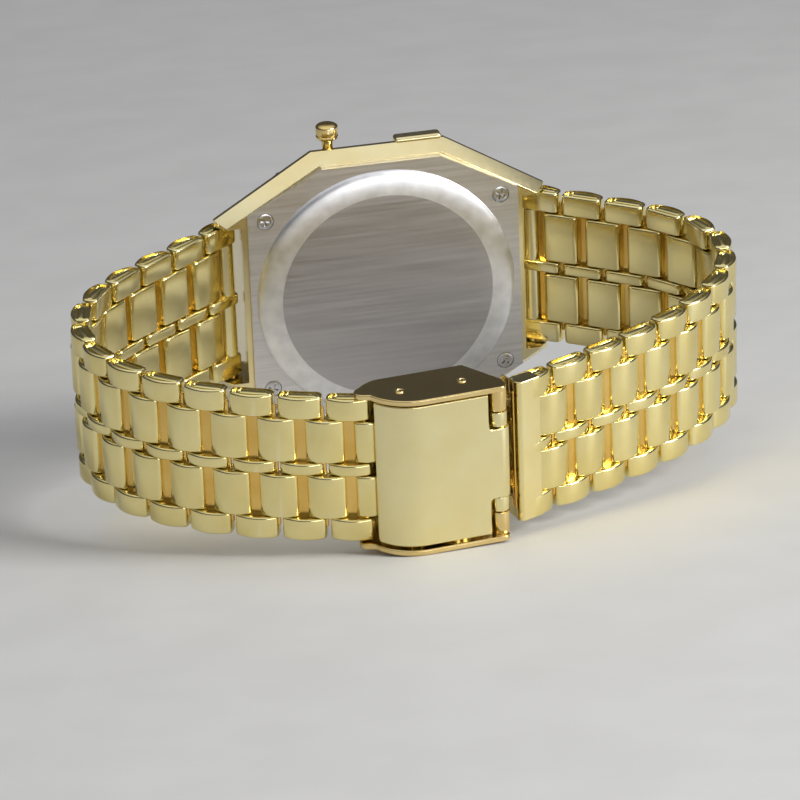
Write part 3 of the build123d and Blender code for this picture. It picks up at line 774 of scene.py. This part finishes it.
# down in the seams between the bars the strip takes a deeper orange gold, which is painted shade
# for these recesses
seam_gold = plated_gold("seam_gold", (0.85, 0.59, 0.19), (0.76, 0.48, 0.12), 0.16, 0.28, 1800)
for half, side, last in (("left", -1, "clasp_hinge"), ("right", 1, "end_link_hinge")):
    names = sorted(name for name in joints if name.startswith(half + "_link"))
    for name, following in zip(names, [*names[1:], last]):
        start = mathutils.Vector(joints[name]["pos_m"])
        along = (mathutils.Vector(joints[following]["pos_m"]) - start).normalized()
        beside = mathutils.Vector((0, 0, side))
        outward = beside.cross(along)
        turned_frame = mathutils.Matrix((along, outward, beside)).transposed().to_4x4()
        to_link = mathutils.Matrix.Translation(start) @ turned_frame
        node = name.replace("_hinge", "")
        low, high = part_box(node)
        band_width = high.z - low.z
        link_form = bmesh.new()
        narrow_bars(link_form, to_link, band_width)
        if name == names[0]:
            bar_tube(link_form, to_link, band_width / 2 - narrow_width)
        if following == "clasp_hinge":
            strip(link_form, to_link, band_width, -strip_hem, link_pitch / 2 + strip_hem)
        else:
            strip(link_form, to_link, band_width, -strip_hem, sleeve_centre)
            sleeves(link_form, to_link, band_width)
        link_sheet = finish_piece(
            link_form, node + "_sheet", link_gold, node, [node], sharp=40,
        )
        # the second material is the painted seam shade on the strip between the bars
        link_sheet.data.materials.append(seam_gold)

# The end link closes the right half: a wide smooth plate, folded round at its free end, whose
# far side carries the last narrow bars. Two ears behind it take the clasp's spring bar.
plate_reach = 3.7 * mm
plate_start = 0.85 * mm
plate_half_height = 0.8 * mm
plate_face = 1.06 * mm
plate_roll = 0.62 * mm
fold_reach = (5.55 * mm, 7.75 * mm)
flange_outer = 0.2 * mm
flange_inner = 0.45 * mm
lip_length = 0.5 * mm
ear_radius = 0.75 * mm
ear_bore = 0.4 * mm
ear_steps = 12
ear_thickness = 0.8 * mm
ear_z = 5.0 * mm
ear_inward = 2.6 * mm
ear_along = 3.5 * mm


def rounded_corners(points, radius, chosen, steps=6):
    """The outline with each chosen corner turned into a round one."""
    result = []
    count = len(points)
    for index, point in enumerate(points):
        if index not in chosen:
            result.append(point)
            continue
        here = mathutils.Vector(point)
        before = (mathutils.Vector(points[index - 1]) - here).normalized()
        after = (mathutils.Vector(points[(index + 1) % count]) - here).normalized()
        half_angle = before.angle(after) / 2
        cut = radius / math.tan(half_angle)
        centre = here + (before + after).normalized() * (radius / math.sin(half_angle))
        start = here + before * cut - centre
        end = here + after * cut - centre
        for step in range(steps + 1):
            share = step / steps
            spread = start.angle(end)
            bent = start * math.sin((1 - share) * spread) + end * math.sin(share * spread)
            result.append(tuple(centre + bent / math.sin(spread)))
    return result


def across_plate(form, outline, low, high, place):
    """A side view drawn across the bracelet from one Z to another."""
    rows = [
        [form.verts.new(place @ mathutils.Vector((x, y, z))) for x, y in outline]
        for z in (low, high)
    ]
    form.faces.new(list(reversed(rows[0])))
    form.faces.new(rows[1])
    walls(form, rows)


def flange(lean, drop):
    """Side view of the sheet folded down behind the plate's free end."""
    inner, outer = plate_reach - flange_inner, plate_reach - flange_outer
    return [(inner, 0), (outer, 0), (outer - lean, -drop), (inner - lean, -drop)]


end_low, end_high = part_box("end_link")
end_width = end_high.z - end_low.z
end_pivot = mathutils.Vector(joints["end_link_hinge"]["pos_m"])
bar_low, bar_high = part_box("clasp_spring_bar")
bar_middle = (bar_low + bar_high) / 2 - end_pivot
end_turn = math.atan2(bar_middle.y, bar_middle.x) - math.atan2(-ear_inward, ear_along)
to_end = mathutils.Matrix.Translation(end_pivot) @ mathutils.Matrix.Rotation(end_turn, 4, "Z")
end_gold = plated_gold(
    "end_gold", (0.88, 0.77, 0.41), (0.85, 0.72, 0.34), 0.13, 0.22, 1700, specks=0.2,
)
end_form = bmesh.new()
narrow_bars(end_form, to_end, end_width)
strip(end_form, to_end, end_width, -strip_hem, sleeve_centre)
end_bars = finish_piece(
    end_form, "end_link_bars", link_gold, "end_link", [], sharp=40,
)
# the second material is the painted seam shade on the strip between the bars
end_bars.data.materials.append(seam_gold)
plate_outline = rounded_corners([
    (plate_start, -plate_half_height),
    (plate_reach - lip_length, -plate_half_height),
    (plate_reach, plate_half_height - lip_length),
    (plate_reach, plate_face),
    (plate_start, plate_face),
], plate_roll, [3])
fold_outline = flange(0.15 * mm, 2.3 * mm)
rim_outline = flange(0.1 * mm, 1.5 * mm)
plate_form = bmesh.new()
across_plate(plate_form, rim_outline, -fold_reach[0], fold_reach[0], to_end)
across_plate(plate_form, plate_outline, -end_width / 2, end_width / 2, to_end)
for side in (-1, 1):
    ear_outline = [(plate_reach - lip_length, 0), (plate_reach - lip_length - 2 * ear_radius, 0)]
    for step in range(ear_steps + 1):
        angle = math.pi + math.pi * step / ear_steps
        ear_outline.append((
            ear_along + ear_radius * math.cos(angle), -ear_inward + ear_radius * math.sin(angle),
        ))
    low, high = span(side, ear_z - ear_thickness / 2, ear_z + ear_thickness / 2)
    ear_form = bmesh.new()
    across_plate(ear_form, ear_outline, low, high, to_end)
    bore_form = bmesh.new()
    bore_place = to_end @ mathutils.Matrix.Translation((ear_along, -ear_inward, 0))
    turned(bore_form, [(ear_bore, low - mm), (ear_bore, high + mm)], bore_place)
    add_form(plate_form, cut_away(ear_form, [bore_form]))
    across_plate(plate_form, fold_outline, *span(side, *fold_reach), to_end)
finish_piece(
    plate_form, "end_link_plate", end_gold, "end_link", ["end_link"],
    rounding=0.14 * mm,
)

# The clasp cover: a base plate pressed up from gold plated sheet into two side cheeks. The
# cheeks carry the lock plate's pin in rolled knuckles, and each has two hollow rivets.
cheek_outside = 8.75 * mm
cheek_inside = 8.15 * mm
cheek_outer = 4.9 * mm
cheek_inner = -1.85 * mm
cheek_end = 14.2 * mm
cheek_start = -1.9 * mm
cheek_shoulder = 1.5 * mm
nose_left = 0.85 * mm
nose_right = 3.0 * mm
nose_run = 2.6 * mm
cheek_corner = 0.7 * mm
nose_roll = 1.05 * mm
shoulder_roll = 3.0 * mm
bend_place = 5.4 * mm
bend_centre = -0.45 * mm
bend_angle = 66.0
bend_radius = 5.0 * mm
cheek_bend_radius = 5.35 * mm
base_start = 0.6 * mm
base_end = 12.2 * mm
base_top = -1.25 * mm
lock_pin_place = mathutils.Vector((13.5 * mm, 3.45 * mm))
knuckle_radius = 0.95 * mm
body_knuckle = (5.72 * mm, 8.15 * mm)
fold_place = mathutils.Vector((13.1 * mm, -1.75 * mm))
fold_radius = 0.75 * mm
fold_knuckle = (4.12 * mm, 6.6 * mm)
rivet_places = ((3.6 * mm, 1.9 * mm), (10.3 * mm, 1.9 * mm))
rivet_radius = 0.52 * mm
rivet_rise = 0.12 * mm
clasp_start = mathutils.Vector(joints["clasp_hinge"]["pos_m"])
lock_vector = mathutils.Vector(joints["lock_plate_hinge"]["pos_m"]) - clasp_start
lock_turn = math.atan2(lock_pin_place.y, lock_pin_place.x)
clasp_turn = math.atan2(lock_vector.y, lock_vector.x) + lock_turn
clasp_along = mathutils.Vector((math.cos(clasp_turn), math.sin(clasp_turn), 0))
clasp_outward = mathutils.Vector((math.sin(clasp_turn), -math.cos(clasp_turn), 0))
clasp_frame = mathutils.Matrix((clasp_along, clasp_outward, (0, 0, -1))).transposed().to_4x4()
to_clasp = mathutils.Matrix.Translation(clasp_start) @ clasp_frame
# the cover's gold is a browner, darker copy of the bracelet's gold, painted shade that darkens the
# cheeks and knuckles
cover_gold = plated_gold(
    "cover_gold", (0.84, 0.66, 0.32), (0.78, 0.59, 0.25), 0.1, 0.18, 2200, specks=0.45,
)


def bend(radius, begin, end, steps=28):
    """Points along the rounded left end that the cheeks and the lock plate share."""
    points = []
    for step in range(steps + 1):
        angle = math.radians(bend_angle * (begin + (end - begin) * step / steps))
        points.append((
            bend_place - radius * math.sin(angle), bend_centre + radius * math.cos(angle),
        ))
    return points


def knuckle(form, centre, radius, low, high, place):
    """A rolled hinge knuckle with softly rounded ends."""
    roll = 0.1 * mm
    on_pin = place @ mathutils.Matrix.Translation((centre.x, centre.y, 0))
    turned(form, [
        (radius - roll, low),
        (radius - 0.3 * roll, low + 0.3 * roll),
        (radius, low + roll),
        (radius, high - roll),
        (radius - 0.3 * roll, high - 0.3 * roll),
        (radius - roll, high),
    ], on_pin)


cheek_outline = rounded_corners([
    (cheek_start, nose_left),
    (cheek_shoulder, cheek_inner),
    (cheek_end - nose_run, cheek_inner),
    (cheek_end, nose_right),
    (cheek_end, cheek_outer),
    *bend(cheek_bend_radius, 0, 1),
], cheek_corner, [3, 4], 8)
cheek_outline = rounded_corners(cheek_outline, shoulder_roll, [1], 8)
cheek_outline = rounded_corners(cheek_outline, nose_roll, [0], 10)
tab_outline = [
    (base_end - mm, cheek_inner), (fold_place.x, cheek_inner),
    (fold_place.x, base_top), (base_end - mm, base_top),
]
cover_form = bmesh.new()
base_low = (base_start, cheek_inner, -cheek_inside)
base_high = (base_end, base_top, cheek_inside)
block(cover_form, base_low, base_high, to_clasp)
for side in (-1, 1):
    across_plate(cover_form, cheek_outline, *span(side, cheek_inside, cheek_outside), to_clasp)
    across_plate(cover_form, tab_outline, *span(side, *fold_knuckle), to_clasp)
finish_piece(
    cover_form, "clasp_cover", cover_gold, "clasp", ["clasp_body"],
    rounding=0.14 * mm,
)
knuckles_form = bmesh.new()
for side in (-1, 1):
    low, high = span(side, *body_knuckle)
    knuckle(knuckles_form, lock_pin_place, knuckle_radius, low, high, to_clasp)
    low, high = span(side, *fold_knuckle)
    knuckle(knuckles_form, fold_place, fold_radius, low, high, to_clasp)
finish_piece(knuckles_form, "clasp_knuckles", cover_gold, "clasp", [], sharp=40)
# the rivets' bores are not cut; a dark brown disc closes each ring, painted shade standing in for
# the dark inside of the hollow
bore_dark = plated_gold("bore_dark", (0.16, 0.1, 0.04), (0.1, 0.06, 0.02), 0.3, 0.5, 2600)
rivet_gold = plated_gold("rivet_gold", (0.95, 0.8, 0.42), (0.9, 0.7, 0.3), 0.08, 0.16, 2600)
for number, (x, y) in enumerate(rivet_places, 1):
    for side, word in ((-1, "upper"), (1, "lower")):
        rivet_form = bmesh.new()
        on_cheek = to_clasp @ mathutils.Matrix.Translation((x, y, side * cheek_outside))
        if side < 0:
            on_cheek = on_cheek @ mathutils.Matrix.Rotation(math.pi, 4, "X")
        turned(rivet_form, [
            (rivet_radius, -rivet_rise),
            (rivet_radius, rivet_rise * 0.3),
            (rivet_radius * 0.93, rivet_rise * 0.75),
            (rivet_radius * 0.8, rivet_rise),
            (rivet_radius * 0.62, rivet_rise * 0.9),
            (rivet_radius * 0.56, rivet_rise * 0.5),
            (rivet_radius * 0.54, rivet_rise * 0.15),
        ], on_cheek, 28)
        rivet = finish_piece(
            rivet_form, "cheek_rivet_%s_%d" % (word, number), rivet_gold, "clasp", [],
            sharp=60,
        )
        # each rivet's top cap, inside its ring, takes the dark brown painted bore shade
        rivet.data.materials.append(bore_dark)
        rivet.data.polygons[-1].material_index = 1

# The bracelet's tail inside the clasp: two sleeves that face the last left link, one whole
# link, and the bars of the next. The lock plate's rib pinches it against the base plate.
grip_start = link_pitch / 2
tail_gap = 0.25 * mm
tail_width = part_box("gripped_links")[1].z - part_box("gripped_links")[0].z
tail_form = bmesh.new()
one_link_on = mathutils.Matrix.Translation((link_pitch, 0, 0))
facing_left = one_link_on @ mathutils.Matrix.Scale(-1, 4, (1, 0, 0))
sleeves(tail_form, to_clasp @ facing_left, tail_width)
to_grip = to_clasp @ mathutils.Matrix.Translation((grip_start, 0, 0))
narrow_bars(tail_form, to_grip, tail_width)
strip_start = link_pitch - sleeve_centre + tail_gap - grip_start
strip(tail_form, to_grip, tail_width, strip_start, sleeve_centre)
sleeves(tail_form, to_grip, tail_width)
to_grip = to_grip @ one_link_on
narrow_bars(tail_form, to_grip, tail_width)
strip(tail_form, to_grip, tail_width, -strip_hem, sleeve_centre)
gripped_tail = finish_piece(
    tail_form, "gripped_tail_sheet", link_gold, "clasp", ["gripped_links"], sharp=40,
)
# the second material is the painted seam shade on the strip between the bars
gripped_tail.data.materials.append(seam_gold)

# The lock plate: a sprung sheet, bent round at its left end, that closes over the bracelet.
# A rib inside pinches the tail, and its rolled knuckles turn on the pin between the cheeks.
lock_half = 7.88 * mm
lock_sheet = 0.6 * mm
lock_face = 4.55 * mm
notch_start = 12.2 * mm
notch_length = 4 * mm
notch_corner = 0.45 * mm
tab_half = 3.9 * mm
tab_radius = 1.1 * mm
lock_knuckle = (3.98 * mm, 5.6 * mm)
rib_place = 6.6 * mm
rib_sheet = 0.6 * mm
rib_foot = 1.34 * mm
lock_gold = plated_gold(
    "lock_gold", (0.87, 0.78, 0.44), (0.84, 0.74, 0.39), 0.15, 0.24, 2400, specks=0.3,
)
lock_outline = [
    *bend(bend_radius, 0, 1),
    *bend(bend_radius - lock_sheet, 1, 0),
    (lock_pin_place.x, lock_face - lock_sheet),
    (lock_pin_place.x, lock_face),
]
lock_form = bmesh.new()
across_plate(lock_form, lock_outline, -lock_half, lock_half, to_clasp)
flat_on = to_clasp @ mathutils.Matrix(((1, 0, 0, 0), (0, 0, 1, 0), (0, 1, 0, 0), (0, 0, 0, 1)))
notches = []
for side in (-1, 1):
    near, far = side * tab_half, side * (lock_half + mm)
    notch_end = notch_start + notch_length
    notch_outline = rounded_corners([
        (notch_start, near), (notch_end, near), (notch_end, far), (notch_start, far),
    ], notch_corner, [0])
    notch_form = bmesh.new()
    across_plate(notch_form, notch_outline, 0, lock_face + clear, flat_on)
    notches.append(notch_form)
lock_form = cut_away(lock_form, notches)
rib_low = (rib_place - rib_sheet / 2, rib_foot, -tab_half)
rib_high = (rib_place + rib_sheet / 2, lock_face - lock_sheet / 2, tab_half)
block(lock_form, rib_low, rib_high, to_clasp)
finish_piece(
    lock_form, "lock_plate_sheet", lock_gold, "lock_plate", ["lock_plate"],
    rounding=0.15 * mm,
)
roll_form = bmesh.new()
knuckle(roll_form, lock_pin_place, tab_radius, -tab_half, tab_half, to_clasp)
for side in (-1, 1):
    low, high = span(side, *lock_knuckle)
    knuckle(roll_form, lock_pin_place, knuckle_radius, low, high, to_clasp)
finish_piece(roll_form, "lock_plate_roll", lock_gold, "lock_plate", [], sharp=40)

# The fold blades and the pins: two flat sprung blades that lie under the base plate when the
# clasp is shut. Round steel pins join them, and a spring bar ends the inner blade.
blade_gold = plated_gold(
    "blade_gold", (0.86, 0.68, 0.3), (0.8, 0.6, 0.24), 0.2, 0.36, 2000, specks=0.3,
)
dress("blade_outer", blade_gold, rounding=0.1 * mm)
dress("blade_inner", blade_gold, rounding=0.1 * mm)
for pin in ("lock_pin", "fold_pin", "blade_pin", "clasp_spring_bar"):
    dress(pin, pin_steel)

# The studio: a pale floor under the two places where the watch rests, its low buttons and
# the clasp's lower edge. The light is soft from overhead and dim near the horizon.
rest_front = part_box("pusher_8_oclock")[0]
rest_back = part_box("clasp_body")[0]
floor_slope = (rest_back.z - rest_front.z) / (rest_back.y - rest_front.y)
floor_size = 4.0
floor_mesh = bpy.data.meshes.new("studio_floor")
corners = []
for x, y in ((-1, -1), (1, -1), (1, 1), (-1, 1)):
    floor_y = y * floor_size / 2
    floor_z = rest_front.z + floor_slope * (floor_y - rest_front.y)
    corners.append((x * floor_size / 2, floor_y, floor_z))
floor_mesh.from_pydata(corners, [], [(0, 1, 2, 3)])
studio_floor = bpy.data.objects.new("studio_floor", floor_mesh)
bpy.context.scene.collection.objects.link(studio_floor)
floor_skin = moulded("floor_paper", (0.68, 0.675, 0.66), 0.6, 400, (0.66, 0.655, 0.64))
studio_floor.data.materials.append(floor_skin)


def soft_box(name, place, size, strength):
    """A soft box lamp that points at the watch."""
    lamp_data = bpy.data.lights.new(name, "AREA")
    lamp_data.shape = "RECTANGLE"
    lamp_data.size, lamp_data.size_y = size
    lamp_data.energy = strength
    lamp = bpy.data.objects.new(name, lamp_data)
    lamp.location = place
    lamp.rotation_mode = "QUATERNION"
    lamp.rotation_quaternion = (-mathutils.Vector(place)).to_track_quat("-Z", "Y")
    bpy.context.scene.collection.objects.link(lamp)


soft_box("key_box", place=(0.4, -0.3, 0.32), size=(0.26, 0.26), strength=3.3)
soft_box("front_box", place=(0.12, -0.72, 0.2), size=(0.4, 0.12), strength=0.8)
studio_world = bpy.data.worlds.new("studio_air")
bpy.context.scene.world = studio_world
studio_world.use_nodes = True
air_tree = studio_world.node_tree
air_place = air_tree.nodes.new("ShaderNodeTexCoord")
air_parts = air_tree.nodes.new("ShaderNodeSeparateXYZ")
air_tree.links.new(air_place.outputs["Generated"], air_parts.inputs["Vector"])
air_height = air_parts.outputs["Z"]
air_colour = ramp(air_tree, air_height, 0.5, (0.07, 0.07, 0.075), 0.9, (0.85, 0.86, 0.88))
air_tree.links.new(air_colour, air_tree.nodes["Background"].inputs["Color"])
bpy.context.scene.view_settings.view_transform = "Standard"
